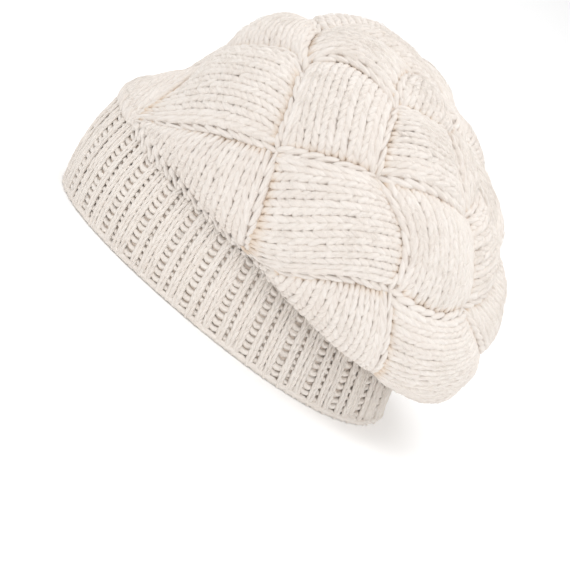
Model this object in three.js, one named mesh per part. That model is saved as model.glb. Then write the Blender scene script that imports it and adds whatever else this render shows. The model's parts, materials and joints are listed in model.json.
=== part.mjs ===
// A knitted beret: a ribbed head band under a wide crown of basket-weave (entrelac) blocks.
// Millimetres, +Z up, the cast-on edge on z = 0, the forehead toward -Y, the wearer's left toward +X.
// An angle round the head is 0 at the nape, 90 at the wearer's left ear and 180 at the forehead.
import * as THREE from 'three';

const WOOL_COLOR = '#efe6da';
const WALL_THICKNESS = 6;            // chunky knit, two 3.3 mm strands pressed together
const FULL_TURN = 360;
const BLOCKS_AROUND = 6;
const RIM_CENTRE_X = 0.06;
const RIM_CENTRE_Y = -8.89;          // the crown slouches back, so the opening sits forward of the middle

// The head opening: an egg, narrow at the forehead and widest behind the ears.
const BAND = {
  frontY: -97.5,
  backY: 97.5,
  halfWidth: 76.5,
  egg: 0.16,                         // how much wider the back half is than the front half
  fullness: 0.13,                    // how much rounder both ends are than an ellipse's
  ribs: 30,
  ribPhase: 5.4,                     // the first rib's place, in degrees round from the nape
  evenGirth: 3.46,                   // evens out the ribs' spacing round the long head
  ribDepth: 1.3,
  pointsPerRib: 4,
  wall: 6.5,
  topInset: 0.8,                     // the last rows draw in under the crown
  browSwell: 0.8,                    // how much more the band swells at the forehead than at the ears
  topGap: 0.5,
  browGap: 1.4,                      // added to the gap at the forehead, where the crown leans over it
};

// Heights as shares of the band's height, with how far the wall stands out and how deep its ribs are.
const BAND_ROWS = [
  { share: 0.0, outward: -0.6, rib: 0.3 },
  { share: 0.05, outward: 0.6, rib: 0.6 },
  { share: 0.14, outward: 0.6, rib: 1.0 },
  { share: 0.45, outward: 1.7, rib: 1.0 },
  { share: 0.78, outward: 0.9, rib: 1.0 },
  { share: 0.93, outward: -0.4, rib: 0.5 },
  { share: 1.0, outward: 0.0, rib: 0.0 },
];

// Rings of the crown's cloth, by share of the way from the band to the pole.
const CROWN_RINGS = [
  { share: 0.0, frontY: -99.5, frontZ: 52, backY: 87.5, backZ: 37, halfWidth: 75, sideZ: 43.5, egg: 0.16 },
  { share: 0.07, frontY: -96, frontZ: 57, backY: 103, backZ: 27, halfWidth: 84, sideZ: 45.5, egg: 0.2 },
  { share: 0.15, frontY: -90, frontZ: 64.5, backY: 115, backZ: 31, halfWidth: 92, sideZ: 53, egg: 0.175 },
  { share: 0.25, frontY: -81, frontZ: 82, backY: 120.5, backZ: 45, halfWidth: 96, sideZ: 68.5, egg: 0.12 },
  { share: 0.35, frontY: -73.5, frontZ: 103, backY: 119, backZ: 60, halfWidth: 95, sideZ: 87, egg: 0.075 },
  { share: 0.45, frontY: -62.4, frontZ: 122, backY: 111.5, backZ: 75, halfWidth: 89, sideZ: 105, egg: 0.05 },
  { share: 0.57, frontY: -44.5, frontZ: 138, backY: 101.5, backZ: 92, halfWidth: 76.5, sideZ: 121, egg: 0.03 },
  { share: 0.67, frontY: -27, frontZ: 148, backY: 90.5, backZ: 105, halfWidth: 61.5, sideZ: 131, egg: 0.017 },
  { share: 0.77, frontY: -9, frontZ: 151, backY: 77.5, backZ: 115, halfWidth: 45, sideZ: 136, egg: 0.008 },
  { share: 0.87, frontY: 9.5, frontZ: 149, backY: 63.5, backZ: 125, halfWidth: 27, sideZ: 138.5, egg: 0.003 },
  { share: 1.0, frontY: 35, frontZ: 141, backY: 35, backZ: 141, halfWidth: 0, sideZ: 141, egg: 0 },
];
const NEAR_POLE = 0.985;             // the furthest place up where a normal is still measured

// The rows of points where four blocks meet. Odd rows stand half a step round from even ones.
const NODE_ROW_SHARES = [0.0, 0.325, 0.49, 0.67, 0.85, 0.965];
const FIRST_NODE_ANGLE = 88;
const NODE_STEP = FULL_TURN / BLOCKS_AROUND;

// How hand knitting pulls single meeting points off the even lattice.
const NODE_PULLS = [
  { row: 0, column: 1, turn: -2, rise: 0.0 },
  { row: 0, column: 5, turn: 9, rise: 0.0 },
  { row: 1, column: 0, turn: -1, rise: 0.0 },
  { row: 1, column: 5, turn: 8.5, rise: 0.0 },
  { row: 1, column: 1, turn: 0, rise: -0.02 },
  { row: 1, column: 3, turn: -3, rise: 0.01 },
  { row: 2, column: 0, turn: 2.5, rise: 0.0 },
  { row: 2, column: 1, turn: -10, rise: 0.005 },
  { row: 2, column: 5, turn: 4.5, rise: -0.03 },
  { row: 2, column: 3, turn: -4, rise: 0.01 },
  { row: 3, column: 0, turn: -7, rise: 0.015 },
  { row: 3, column: 1, turn: -8, rise: -0.09 },
  { row: 3, column: 5, turn: -10, rise: 0.015 },
  { row: 3, column: 2, turn: 3, rise: -0.02 },
  { row: 4, column: 0, turn: -2, rise: 0.02 },
];

// Edges between two meeting points that bow: `front` edges climb toward the forehead.
// `peak` is the share of the edge where it bows most.
const EDGE_BOWS = [
  { row: 0, column: 1, side: 'front', peak: 0.4, turn: 0, rise: 0.04 },
  { row: 0, column: 1, side: 'back', peak: 0.38, turn: 3, rise: 0.07 },
  { row: 0, column: 0, side: 'back', peak: 0.42, turn: 3, rise: 0.075 },
  { row: 1, column: 0, side: 'front', peak: 0.5, turn: -3, rise: 0.005 },
  { row: 1, column: 1, side: 'back', peak: 0.85, turn: 3, rise: 0.018 },
  { row: 1, column: 5, side: 'front', peak: 0.45, turn: -6, rise: 0.045 },
  { row: 1, column: 5, side: 'back', peak: 0.5, turn: 0, rise: -0.025 },
  { row: 2, column: 0, side: 'back', peak: 0.5, turn: 3, rise: 0.03 },
  { row: 2, column: 1, side: 'back', peak: 0.4, turn: 10, rise: 0.042 },
];

// The cushion shape of one block, in mm off the cloth's mean surface.
const CUSHION = {
  lift: 3.0,
  sideSink: 1.5,                     // along the chained sides, which ride on top
  endSink: 4.5,                      // at the picked-up ends, which tuck under
  squareness: 3,
  foldFrom: 0.1,                     // below this share the cloth folds over the band, flat and squeezed thin
  foldTo: 0.26,
  foldThickness: 0.6,
};
// Shares of a block's width or length where its surface is sampled, closer toward its rounded edges.
const SAMPLE_SHARES = [0, 0.08, 0.24, 0.42, 0.58, 0.76, 0.92, 1];
const TIERS = 4;
const SEAM_GAP = 0.9;                // between neighbouring blocks
const TRIANGLE_FIRST_SAMPLE = 1;     // cuts off the sharp front corner of a base triangle

// Half the outline of the closing knot, from its inner face round to its outer one.
const TIP_PROFILE = [
  { radius: 0, height: -7.0 },
  { radius: 6, height: -6.5 },
  { radius: 7.5, height: -4.0 },
  { radius: 6, height: -1.5 },
  { radius: 0, height: -0.5 },
];
const TIP_SIDES = 12;


function lerp(a, b, share) {
  return a + (b - a) * share;
}

// A smooth curve through one named column of a table whose rows are in order of `share`.
function readTable(rows, column, share) {
  let i = 0;
  while (i < rows.length - 2 && share > rows[i + 1].share) {
    i += 1;
  }
  const slopeOver = (k) => (rows[k + 1][column] - rows[k][column]) / (rows[k + 1].share - rows[k].share);
  const slopeAt = (k) => {
    if (k === 0) {
      return slopeOver(0);
    }
    if (k === rows.length - 1) {
      return slopeOver(rows.length - 2);
    }
    const before = rows[k].share - rows[k - 1].share;
    const after = rows[k + 1].share - rows[k].share;
    return (slopeOver(k - 1) * after + slopeOver(k) * before) / (before + after);
  };
  const span = rows[i + 1].share - rows[i].share;
  const s = (share - rows[i].share) / span;
  const s2 = s * s;
  const s3 = s2 * s;
  return (2 * s3 - 3 * s2 + 1) * rows[i][column]
    + (s3 - 2 * s2 + s) * span * slopeAt(i)
    + (3 * s2 - 2 * s3) * rows[i + 1][column]
    + (s3 - s2) * span * slopeAt(i + 1);
}

// How far out a ring reaches to the side, for a half width of 1.
function sideReach(cos, sin, egg, share) {
  const fullness = BAND.fullness * (1 - share);
  return sin * (1 + egg * cos) * (1 + fullness * cos * cos);
}

// A point of the crown's mean surface.
function crownPoint(angle, share) {
  const cos = Math.cos(THREE.MathUtils.degToRad(angle));
  const sin = Math.sin(THREE.MathUtils.degToRad(angle));
  const read = (column) => readTable(CROWN_RINGS, column, share);
  const frontY = read('frontY');
  const backY = read('backY');
  const frontZ = read('frontZ');
  const backZ = read('backZ');
  const sideZ = read('sideZ');
  return new THREE.Vector3(
    RIM_CENTRE_X + read('halfWidth') * sideReach(cos, sin, read('egg'), share),
    RIM_CENTRE_Y + (frontY + backY) / 2 + ((backY - frontY) / 2) * cos,
    sideZ + ((backZ - frontZ) / 2) * cos + ((backZ + frontZ) / 2 - sideZ) * cos * cos,
  );
}

// The cloth's outward direction, which points down under the fold at the nape.
function crownNormal(angle, share) {
  const angleStep = 0.5;
  const shareStep = 0.004;
  const at = Math.min(share, NEAR_POLE);
  const around = crownPoint(angle + angleStep, at).sub(crownPoint(angle - angleStep, at));
  const upward = crownPoint(angle, at + shareStep).sub(crownPoint(angle, Math.max(at - shareStep, 0)));
  return upward.cross(around).normalize();
}

function columnOf(column) {
  return (column + BLOCKS_AROUND) % BLOCKS_AROUND;
}

// A meeting point of the lattice as { angle, share }, with its pull added.
function latticeNode(row, column) {
  const halfStep = row % 2 === 1 ? 0.5 : 0;
  const node = {
    angle: FIRST_NODE_ANGLE + NODE_STEP * (column + halfStep),
    share: NODE_ROW_SHARES[row],
  };
  for (const pull of NODE_PULLS) {
    if (pull.row === row && pull.column === columnOf(column)) {
      node.angle += pull.turn;
      node.share += pull.rise;
    }
  }
  return node;
}

function edgeBow(row, column, side, along) {
  const bow = { angle: 0, share: 0 };
  for (const entry of EDGE_BOWS) {
    if (entry.row === row && entry.column === columnOf(column) && entry.side === side) {
      const skewed = along ** (Math.log(0.5) / Math.log(entry.peak));
      bow.angle += entry.turn * Math.sin(Math.PI * skewed);
      bow.share += entry.rise * Math.sin(Math.PI * skewed);
    }
  }
  return bow;
}

// Maps one block: `toFront` and `toBack` run 0 to 1 from its bottom point along its two lower edges.
function blockMap(tier, column) {
  const row = tier - 1;
  const frontColumn = row % 2 === 1 ? column + 1 : column;
  const bottom = latticeNode(row, column);
  const front = latticeNode(tier, frontColumn);
  const back = latticeNode(tier, frontColumn - 1);
  const top = latticeNode(tier + 1, column);
  return (toFront, toBack) => {
    const share = lerp(lerp(bottom.share, front.share, toFront), lerp(back.share, top.share, toFront), toBack);
    if (tier === TIERS) {
      const rest = 1 - toFront * toBack;
      const angle = bottom.angle
        + ((front.angle - bottom.angle) * toFront * (1 - toBack)) / rest
        + ((back.angle - bottom.angle) * toBack * (1 - toFront)) / rest;
      return { angle, share };
    }
    const angle = lerp(lerp(bottom.angle, front.angle, toFront), lerp(back.angle, top.angle, toFront), toBack);
    const bows = [
      { bow: edgeBow(row, column, 'front', toFront), weight: 1 - toBack },
      { bow: edgeBow(row, column, 'back', toBack), weight: 1 - toFront },
      { bow: edgeBow(tier, frontColumn, 'back', toBack), weight: toFront },
      { bow: edgeBow(tier, frontColumn - 1, 'front', toFront), weight: toBack },
    ];
    const place = { angle, share };
    for (const { bow, weight } of bows) {
      place.angle += bow.angle * weight;
      place.share += bow.share * weight;
    }
    return place;
  };
}

// Odd tiers are knitted along their back edge, even tiers along their front edge.
// `across` counts stitches from side to side and `along` counts rows, both 0 to 1.
function knittedBlockMap(tier, column) {
  const map = blockMap(tier, column);
  if (tier % 2 === 1) {
    return (across, along) => map(across, along);
  }
  return (across, along) => map(along, across);
}

// A base triangle widens from its front corner. Its stitches climb to the edge of the block in front.
function baseTriangleMap(column) {
  const back = latticeNode(0, column);
  const front = latticeNode(0, column + 1);
  const apex = latticeNode(1, column);
  return (across, along) => {
    const upper = edgeBow(0, column + 1, 'back', across);
    const side = edgeBow(0, column, 'front', along);
    const lowerAngle = lerp(front.angle, back.angle, across);
    const upperAngle = lerp(front.angle, apex.angle, across) + upper.angle;
    const upperShare = lerp(front.share, apex.share, across) + upper.share;
    return {
      angle: lerp(lowerAngle, upperAngle, along) + side.angle * across,
      share: lerp(0, upperShare, along) + side.share * across,
    };
  };
}

// 0 in the fold over the band, 1 above it.
function clearOfFold(share) {
  return THREE.MathUtils.smoothstep(share, CUSHION.foldFrom, CUSHION.foldTo);
}

function cushionHeight(across, along, share) {
  const swellAcross = 1 - Math.abs(2 * across - 1) ** CUSHION.squareness;
  const swellAlong = 1 - Math.abs(2 * along - 1) ** CUSHION.squareness;
  const full = clearOfFold(share);
  return CUSHION.lift * swellAcross * swellAlong
    - full * CUSHION.sideSink * (1 - swellAcross)
    - full * CUSHION.endSink * (1 - swellAlong);
}

// A closed body from two grids of points, the outer one and the inner one behind it.
function closedShell(outer, inner, columns, rows) {
  const positions = [];
  for (const point of [...outer, ...inner]) {
    positions.push(point.x, point.y, point.z);
  }
  const index = [];
  const innerStart = outer.length;
  const at = (i, j) => i * (rows + 1) + j;
  const addQuad = (a, b, c, d) => {
    index.push(a, b, c, a, c, d);
  };
  for (let i = 0; i < columns; i += 1) {
    for (let j = 0; j < rows; j += 1) {
      addQuad(at(i, j), at(i + 1, j), at(i + 1, j + 1), at(i, j + 1));
      addQuad(
        innerStart + at(i, j),
        innerStart + at(i, j + 1),
        innerStart + at(i + 1, j + 1),
        innerStart + at(i + 1, j),
      );
    }
  }
  // Each wall is cut from its low outer corner to its high inner one, so facing walls never cross.
  const addWall = (low, high) => {
    addQuad(low, innerStart + low, innerStart + high, high);
  };
  const addFacingWall = (low, high) => {
    addQuad(low, high, innerStart + high, innerStart + low);
  };
  for (let i = 0; i < columns; i += 1) {
    addWall(at(i, 0), at(i + 1, 0));
    addFacingWall(at(i, rows), at(i + 1, rows));
  }
  for (let j = 0; j < rows; j += 1) {
    addFacingWall(at(0, j), at(0, j + 1));
    addWall(at(columns, j), at(columns, j + 1));
  }
  const geometry = new THREE.BufferGeometry();
  geometry.setAttribute('position', new THREE.Float32BufferAttribute(positions, 3));
  geometry.setIndex(index);
  return geometry;
}

function turnInsideOut(geometry) {
  const index = geometry.getIndex().array;
  for (let i = 0; i < index.length; i += 3) {
    const kept = index[i + 1];
    index[i + 1] = index[i + 2];
    index[i + 2] = kept;
  }
}

function signedVolume(geometry) {
  const position = geometry.getAttribute('position');
  const index = geometry.getIndex().array;
  const a = new THREE.Vector3();
  const b = new THREE.Vector3();
  const c = new THREE.Vector3();
  let volume = 0;
  for (let i = 0; i < index.length; i += 3) {
    a.fromBufferAttribute(position, index[i]);
    b.fromBufferAttribute(position, index[i + 1]);
    c.fromBufferAttribute(position, index[i + 2]);
    volume += a.dot(b.cross(c)) / 6;
  }
  return volume;
}

// Cloth of even thickness over one mapped patch, drawn in from its edges by half the seam gap.
function patchGeometry(map, firstSample) {
  const pointAt = (across, along) => {
    const place = map(across, along);
    return crownPoint(place.angle, place.share);
  };
  const middle = 0.5;
  const acrossLength = pointAt(0, middle).distanceTo(pointAt(1, middle));
  const alongLength = pointAt(middle, 0).distanceTo(pointAt(middle, 1));
  const acrossInset = SEAM_GAP / 2 / acrossLength;
  const alongInset = SEAM_GAP / 2 / alongLength;
  const outer = [];
  const inner = [];
  const acrossSamples = SAMPLE_SHARES.slice(firstSample);
  for (const acrossShare of acrossSamples) {
    const across = lerp(acrossInset, 1 - acrossInset, acrossShare);
    for (const alongShare of SAMPLE_SHARES) {
      const along = lerp(alongInset, 1 - alongInset, alongShare);
      const place = map(across, along);
      const normal = crownNormal(place.angle, place.share);
      const height = cushionHeight(across, along, place.share);
      const point = crownPoint(place.angle, place.share).addScaledVector(normal, height);
      outer.push(point);
      const thickness = WALL_THICKNESS * lerp(CUSHION.foldThickness, 1, clearOfFold(place.share));
      inner.push(point.clone().addScaledVector(normal, -thickness));
    }
  }
  const geometry = closedShell(outer, inner, acrossSamples.length - 1, SAMPLE_SHARES.length - 1);
  if (signedVolume(geometry) < 0) {
    turnInsideOut(geometry);
  }
  geometry.computeVertexNormals();
  return geometry;
}

// The ribbed band: one closed ring, its ribs showing on both faces.
function bandGeometry() {
  const around = BAND.ribs * BAND.pointsPerRib;
  const rows = BAND_ROWS.length;
  const rimPoint = (angle, outward) => {
    const cos = Math.cos(THREE.MathUtils.degToRad(angle));
    const sin = Math.sin(THREE.MathUtils.degToRad(angle));
    const halfLength = (BAND.backY - BAND.frontY) / 2 + outward;
    return new THREE.Vector2(
      RIM_CENTRE_X + (BAND.halfWidth + outward) * sideReach(cos, sin, BAND.egg, 0),
      RIM_CENTRE_Y + (BAND.frontY + BAND.backY) / 2 + halfLength * cos,
    );
  };
  const topPoint = (angle, outward) => {
    const point = crownPoint(angle, 0);
    const rim = rimPoint(angle, 0);
    const moved = rimPoint(angle, outward - BAND.topInset);
    return new THREE.Vector2(point.x + moved.x - rim.x, point.y + moved.y - rim.y);
  };
  const loopPoints = (row, offset) => {
    const points = [];
    for (let i = 0; i < around; i += 1) {
      const turn = BAND.ribPhase + (FULL_TURN * i) / around;
      const angle = turn + BAND.evenGirth * Math.sin(2 * THREE.MathUtils.degToRad(turn));
      const wave = Math.cos((2 * Math.PI * i) / BAND.pointsPerRib) * BAND.ribDepth * row.rib;
      const forward = -Math.cos(THREE.MathUtils.degToRad(angle));
      const swell = 1 + BAND.browSwell * forward;
      const outward = row.outward * swell + wave + offset;
      const rim = rimPoint(angle, outward);
      const top = topPoint(angle, outward);
      const height = crownPoint(angle, 0).z - BAND.topGap - BAND.browGap * Math.max(forward, 0);
      points.push(new THREE.Vector3(
        lerp(rim.x, top.x, row.share),
        lerp(rim.y, top.y, row.share),
        height * row.share,
      ));
    }
    return points;
  };
  const loops = [
    ...BAND_ROWS.map((row) => loopPoints(row, 0)),
    ...[...BAND_ROWS].reverse().map((row) => loopPoints(row, -BAND.wall)),
  ];
  const positions = [];
  for (const point of loops.flat()) {
    positions.push(point.x, point.y, point.z);
  }
  const index = [];
  const loopCount = rows * 2;
  for (let k = 0; k < loopCount; k += 1) {
    const next = (k + 1) % loopCount;
    for (let i = 0; i < around; i += 1) {
      const j = (i + 1) % around;
      index.push(k * around + i, next * around + i, next * around + j);
      index.push(k * around + i, next * around + j, k * around + j);
    }
  }
  const geometry = new THREE.BufferGeometry();
  geometry.setAttribute('position', new THREE.Float32BufferAttribute(positions, 3));
  geometry.setIndex(index);
  if (signedVolume(geometry) < 0) {
    turnInsideOut(geometry);
  }
  geometry.computeVertexNormals();
  return geometry;
}

// The gathered knot that closes the crown, a flat bead square to the cloth at the pole.
function crownTipGeometry() {
  const profile = TIP_PROFILE.map(({ radius, height }) => new THREE.Vector2(radius, height));
  const geometry = new THREE.LatheGeometry(profile, TIP_SIDES);
  const lean = new THREE.Quaternion().setFromUnitVectors(new THREE.Vector3(0, 1, 0), crownNormal(0, 1));
  geometry.applyQuaternion(lean);
  const pole = crownPoint(0, 1);
  geometry.translate(pole.x, pole.y, pole.z);
  return geometry;
}

function woolMesh(name, geometry) {
  const material = new THREE.MeshStandardMaterial({ color: WOOL_COLOR, roughness: 0.95, metalness: 0 });
  const mesh = new THREE.Mesh(geometry, material);
  mesh.name = name;
  return mesh;
}

const beret = new THREE.Group();
beret.name = 'knit_beret';
beret.add(woolMesh('ribbed_band', bandGeometry()));
for (let column = 0; column < BLOCKS_AROUND; column += 1) {
  const geometry = patchGeometry(baseTriangleMap(column), TRIANGLE_FIRST_SAMPLE);
  beret.add(woolMesh(`base_triangle_${column + 1}`, geometry));
}
for (let tier = 1; tier <= TIERS; tier += 1) {
  for (let column = 0; column < BLOCKS_AROUND; column += 1) {
    const geometry = patchGeometry(knittedBlockMap(tier, column), 0);
    beret.add(woolMesh(`tier_${tier}_block_${column + 1}`, geometry));
  }
}
beret.add(woolMesh('crown_tip', crownTipGeometry()));

export default beret;
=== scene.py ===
import json
import math

import bpy
import numpy as np
from mathutils import Matrix, Vector

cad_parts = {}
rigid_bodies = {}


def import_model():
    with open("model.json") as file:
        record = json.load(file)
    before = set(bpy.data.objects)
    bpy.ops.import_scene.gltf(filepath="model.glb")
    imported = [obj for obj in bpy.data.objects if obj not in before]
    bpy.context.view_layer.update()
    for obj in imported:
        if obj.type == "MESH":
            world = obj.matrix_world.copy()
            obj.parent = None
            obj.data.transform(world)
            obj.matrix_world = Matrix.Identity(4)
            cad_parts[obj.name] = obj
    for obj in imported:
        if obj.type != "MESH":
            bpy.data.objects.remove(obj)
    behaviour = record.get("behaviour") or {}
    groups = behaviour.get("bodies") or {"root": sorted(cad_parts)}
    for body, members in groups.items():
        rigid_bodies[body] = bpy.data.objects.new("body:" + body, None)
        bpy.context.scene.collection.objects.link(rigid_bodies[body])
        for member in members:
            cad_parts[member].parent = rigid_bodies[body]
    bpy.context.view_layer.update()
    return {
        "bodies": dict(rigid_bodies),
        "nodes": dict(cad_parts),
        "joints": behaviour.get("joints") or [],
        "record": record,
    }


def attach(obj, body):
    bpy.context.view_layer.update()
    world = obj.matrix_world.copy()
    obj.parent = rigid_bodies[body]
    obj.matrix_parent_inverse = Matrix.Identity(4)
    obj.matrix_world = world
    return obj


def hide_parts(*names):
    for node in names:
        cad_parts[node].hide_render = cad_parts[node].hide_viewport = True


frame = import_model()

random = np.random.default_rng(7)
mm = 0.001

# The head's plan at the cast-on edge, in mm.
rimCentre = {"x": 0.06, "y": -8.89}
headShape = {"frontY": -97.5, "backY": 97.5, "halfWidth": 76.5, "egg": 0.16, "fullness": 0.13}

# The crown's mean cloth, ring by ring from the band (share 0) to the pole (share 1), in mm.
ringColumns = ("share", "frontY", "frontZ", "backY", "backZ", "halfWidth", "sideZ", "egg")
crownRings = [
    (0.0, -99.5, 52, 87.5, 37, 75, 43.5, 0.16),
    (0.07, -96, 57, 103, 27, 84, 45.5, 0.2),
    (0.15, -90, 64.5, 115, 31, 92, 53, 0.175),
    (0.25, -81, 82, 120.5, 45, 96, 68.5, 0.12),
    (0.35, -73.5, 103, 119, 60, 95, 87, 0.075),
    (0.45, -62.4, 122, 111.5, 75, 89, 105, 0.05),
    (0.57, -44.5, 138, 101.5, 92, 76.5, 121, 0.03),
    (0.67, -27, 148, 90.5, 105, 61.5, 131, 0.017),
    (0.77, -9, 151, 77.5, 115, 45, 136, 0.008),
    (0.87, 9.5, 149, 63.5, 125, 27, 138.5, 0.003),
    (1.0, 35, 141, 35, 141, 0, 141, 0),
]
ringValues = dict(zip(ringColumns, np.array(crownRings, float).T))

# Where four blocks meet: rows of points up the crown, odd rows half a step round from even ones.
lattice = {
    "rowShares": [0.0, 0.325, 0.49, 0.67, 0.85, 0.965],
    "firstAngle": 88,
    "around": 6,
    "tiers": 4,
}

# How far the slouch pulls single points, in degrees round and in shares of the crown upward.
nodePulls = [
    {"row": 0, "column": 1, "turn": -2, "rise": 0.0},
    {"row": 0, "column": 5, "turn": 9, "rise": 0.0},
    {"row": 1, "column": 0, "turn": -1, "rise": 0.0},
    {"row": 1, "column": 5, "turn": 8.5, "rise": 0.0},
    {"row": 1, "column": 1, "turn": 0, "rise": -0.02},
    {"row": 1, "column": 3, "turn": -3, "rise": 0.01},
    {"row": 2, "column": 0, "turn": 2.5, "rise": 0.0},
    {"row": 2, "column": 1, "turn": -10, "rise": 0.005},
    {"row": 2, "column": 5, "turn": 4.5, "rise": -0.03},
    {"row": 2, "column": 3, "turn": -4, "rise": 0.01},
    {"row": 3, "column": 0, "turn": -7, "rise": 0.015},
    {"row": 3, "column": 1, "turn": -8, "rise": -0.09},
    {"row": 3, "column": 5, "turn": -10, "rise": 0.015},
    {"row": 3, "column": 2, "turn": 3, "rise": -0.02},
    {"row": 4, "column": 0, "turn": -2, "rise": 0.02},
]

# Seams that bow to one side, most at their peak, which is a share of the seam's length.
edgeBows = [
    {"row": 0, "column": 1, "side": "front", "peak": 0.4, "turn": 0, "rise": 0.04},
    {"row": 0, "column": 1, "side": "back", "peak": 0.38, "turn": 3, "rise": 0.07},
    {"row": 0, "column": 0, "side": "back", "peak": 0.42, "turn": 3, "rise": 0.075},
    {"row": 1, "column": 0, "side": "front", "peak": 0.5, "turn": -3, "rise": 0.005},
    {"row": 1, "column": 1, "side": "back", "peak": 0.85, "turn": 3, "rise": 0.018},
    {"row": 1, "column": 5, "side": "front", "peak": 0.45, "turn": -6, "rise": 0.045},
    {"row": 1, "column": 5, "side": "back", "peak": 0.5, "turn": 0, "rise": -0.025},
    {"row": 2, "column": 0, "side": "back", "peak": 0.5, "turn": 3, "rise": 0.03},
    {"row": 2, "column": 1, "side": "back", "peak": 0.4, "turn": 10, "rise": 0.042},
]

# A block's bulge: its middle stands out, and its sides and ends sink into the seams, in mm.
cushion = {
    "lift": 3.0,
    "sideSink": 1.5,
    "endSink": 4.5,
    "squareness": 3,
    "foldFrom": 0.1,       # the seams begin to sink here and are full there, in shares of the crown
    "foldTo": 0.26,
}
shallowTop = {"ease": 0.6, "from": 0.6, "to": 0.85}    # the folds lie shallower near the pole


def blend(a, b, share):
    return a + (b - a) * share


def smoothStep(value, low, high):
    s = np.clip((value - low) / (high - low), 0, 1)
    return s * s * (3 - 2 * s)


def unit(v):
    return v / np.maximum(np.linalg.norm(v, axis=-1, keepdims=True), 1e-9)


# A smooth curve through the rings' values of one column.
def readColumn(name, share):
    at = ringValues["share"]
    values = ringValues[name]
    spans = np.diff(at)
    slopes = np.diff(values) / spans
    tangents = np.empty_like(values)
    tangents[0] = slopes[0]
    tangents[-1] = slopes[-1]
    tangents[1:-1] = (slopes[:-1] * spans[1:] + slopes[1:] * spans[:-1]) / (spans[:-1] + spans[1:])
    i = np.clip(np.searchsorted(at, share, side="left") - 1, 0, len(spans) - 1)
    s = (share - at[i]) / spans[i]
    s2 = s * s
    s3 = s2 * s
    return (
        (2 * s3 - 3 * s2 + 1) * values[i]
        + (s3 - 2 * s2 + s) * spans[i] * tangents[i]
        + (3 * s2 - 2 * s3) * values[i + 1]
        + (s3 - s2) * spans[i] * tangents[i + 1]
    )


def sideReach(cos, sin, egg, share):
    fullness = headShape["fullness"] * (1 - share)
    return sin * (1 + egg * cos) * (1 + fullness * cos * cos)


def crownPoint(angle, share):
    cos = np.cos(np.radians(angle))
    sin = np.sin(np.radians(angle))
    ring = {name: readColumn(name, share) for name in ringColumns[1:]}
    halfLength = (ring["backY"] - ring["frontY"]) / 2
    tilt = (ring["backZ"] - ring["frontZ"]) / 2
    middleZ = (ring["backZ"] + ring["frontZ"]) / 2
    x = rimCentre["x"] + ring["halfWidth"] * sideReach(cos, sin, ring["egg"], share)
    y = rimCentre["y"] + (ring["frontY"] + ring["backY"]) / 2 + halfLength * cos
    z = ring["sideZ"] + tilt * cos + (middleZ - ring["sideZ"]) * cos * cos
    return np.stack([x, y, z], -1)


normalStep = {"angle": 0.5, "share": 0.004, "highest": 0.985}    # stays short of the pole


def crownNormal(angle, share):
    at = np.clip(share, 0, normalStep["highest"])
    turn, rise = normalStep["angle"], normalStep["share"]
    around = crownPoint(angle + turn, at) - crownPoint(angle - turn, at)
    upward = crownPoint(angle, at + rise) - crownPoint(angle, np.maximum(at - rise, 0))
    return unit(np.cross(upward, around))


def latticeNode(row, column):
    halfStep = 0.5 if row % 2 else 0.0
    angle = lattice["firstAngle"] + 360 / lattice["around"] * (column + halfStep)
    share = lattice["rowShares"][row]
    for pull in nodePulls:
        if pull["row"] == row and pull["column"] == column % lattice["around"]:
            angle += pull["turn"]
            share += pull["rise"]
    return np.array([angle, share])


def edgeBow(row, column, side, along):
    bow = np.zeros(np.shape(along) + (2,))
    for entry in edgeBows:
        if (entry["row"], entry["column"], entry["side"]) == (row, column % lattice["around"], side):
            skewed = np.clip(along, 0, 1) ** (math.log(0.5) / math.log(entry["peak"]))
            bow += np.sin(np.pi * skewed)[..., None] * np.array([entry["turn"], entry["rise"]])
    return bow


# The place (angle, share) of a point of one block, from its bottom corner toward front and back.
def blockMap(tier, column):
    row = tier - 1
    frontColumn = column + 1 if row % 2 else column
    bottom = latticeNode(row, column)
    front = latticeNode(tier, frontColumn)
    back = latticeNode(tier, frontColumn - 1)
    top = latticeNode(tier + 1, column)

    def place(toFront, toBack):
        f, b = toFront[..., None], toBack[..., None]
        spot = blend(blend(bottom, front, f), blend(back, top, f), b)
        if tier == lattice["tiers"]:
            rest = np.maximum(1 - toFront * toBack, 1e-3)    # above zero, also at the pole
            spot[..., 0] = (
                bottom[0]
                + (front[0] - bottom[0]) * toFront * (1 - toBack) / rest
                + (back[0] - bottom[0]) * toBack * (1 - toFront) / rest
            )
            return spot
        spot += (
            edgeBow(row, column, "front", toFront) * (1 - b)
            + edgeBow(row, column, "back", toBack) * (1 - f)
        )
        spot += edgeBow(tier, frontColumn, "back", toBack) * f
        spot += edgeBow(tier, frontColumn - 1, "front", toFront) * b
        return spot

    return place


# Odd tiers are knitted toward the nape, even tiers toward the forehead.
def knittedMap(tier, column):
    place = blockMap(tier, column)
    if tier % 2:
        return place
    return lambda across, along: place(along, across)


def triangleMap(column):
    back = latticeNode(0, column)
    front = latticeNode(0, column + 1)
    apex = latticeNode(1, column)

    def place(across, along):
        a, b = across[..., None], along[..., None]
        start = blend(front, back, a)
        end = blend(front, apex, a) + edgeBow(0, column + 1, "back", across)
        return blend(start, end, b) + a * edgeBow(0, column, "front", along)

    return place


def cushionHeight(across, along, share):
    swellAcross = 1 - np.abs(2 * np.clip(across, 0, 1) - 1) ** cushion["squareness"]
    swellAlong = 1 - np.abs(2 * np.clip(along, 0, 1) - 1) ** cushion["squareness"]
    full = smoothStep(share, cushion["foldFrom"], cushion["foldTo"])
    full = full * (1 - shallowTop["ease"] * smoothStep(share, shallowTop["from"], shallowTop["to"]))
    return (
        cushion["lift"] * swellAcross * swellAlong
        - full * cushion["sideSink"] * (1 - swellAcross)
        - full * cushion["endSink"] * (1 - swellAlong)
    )


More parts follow.
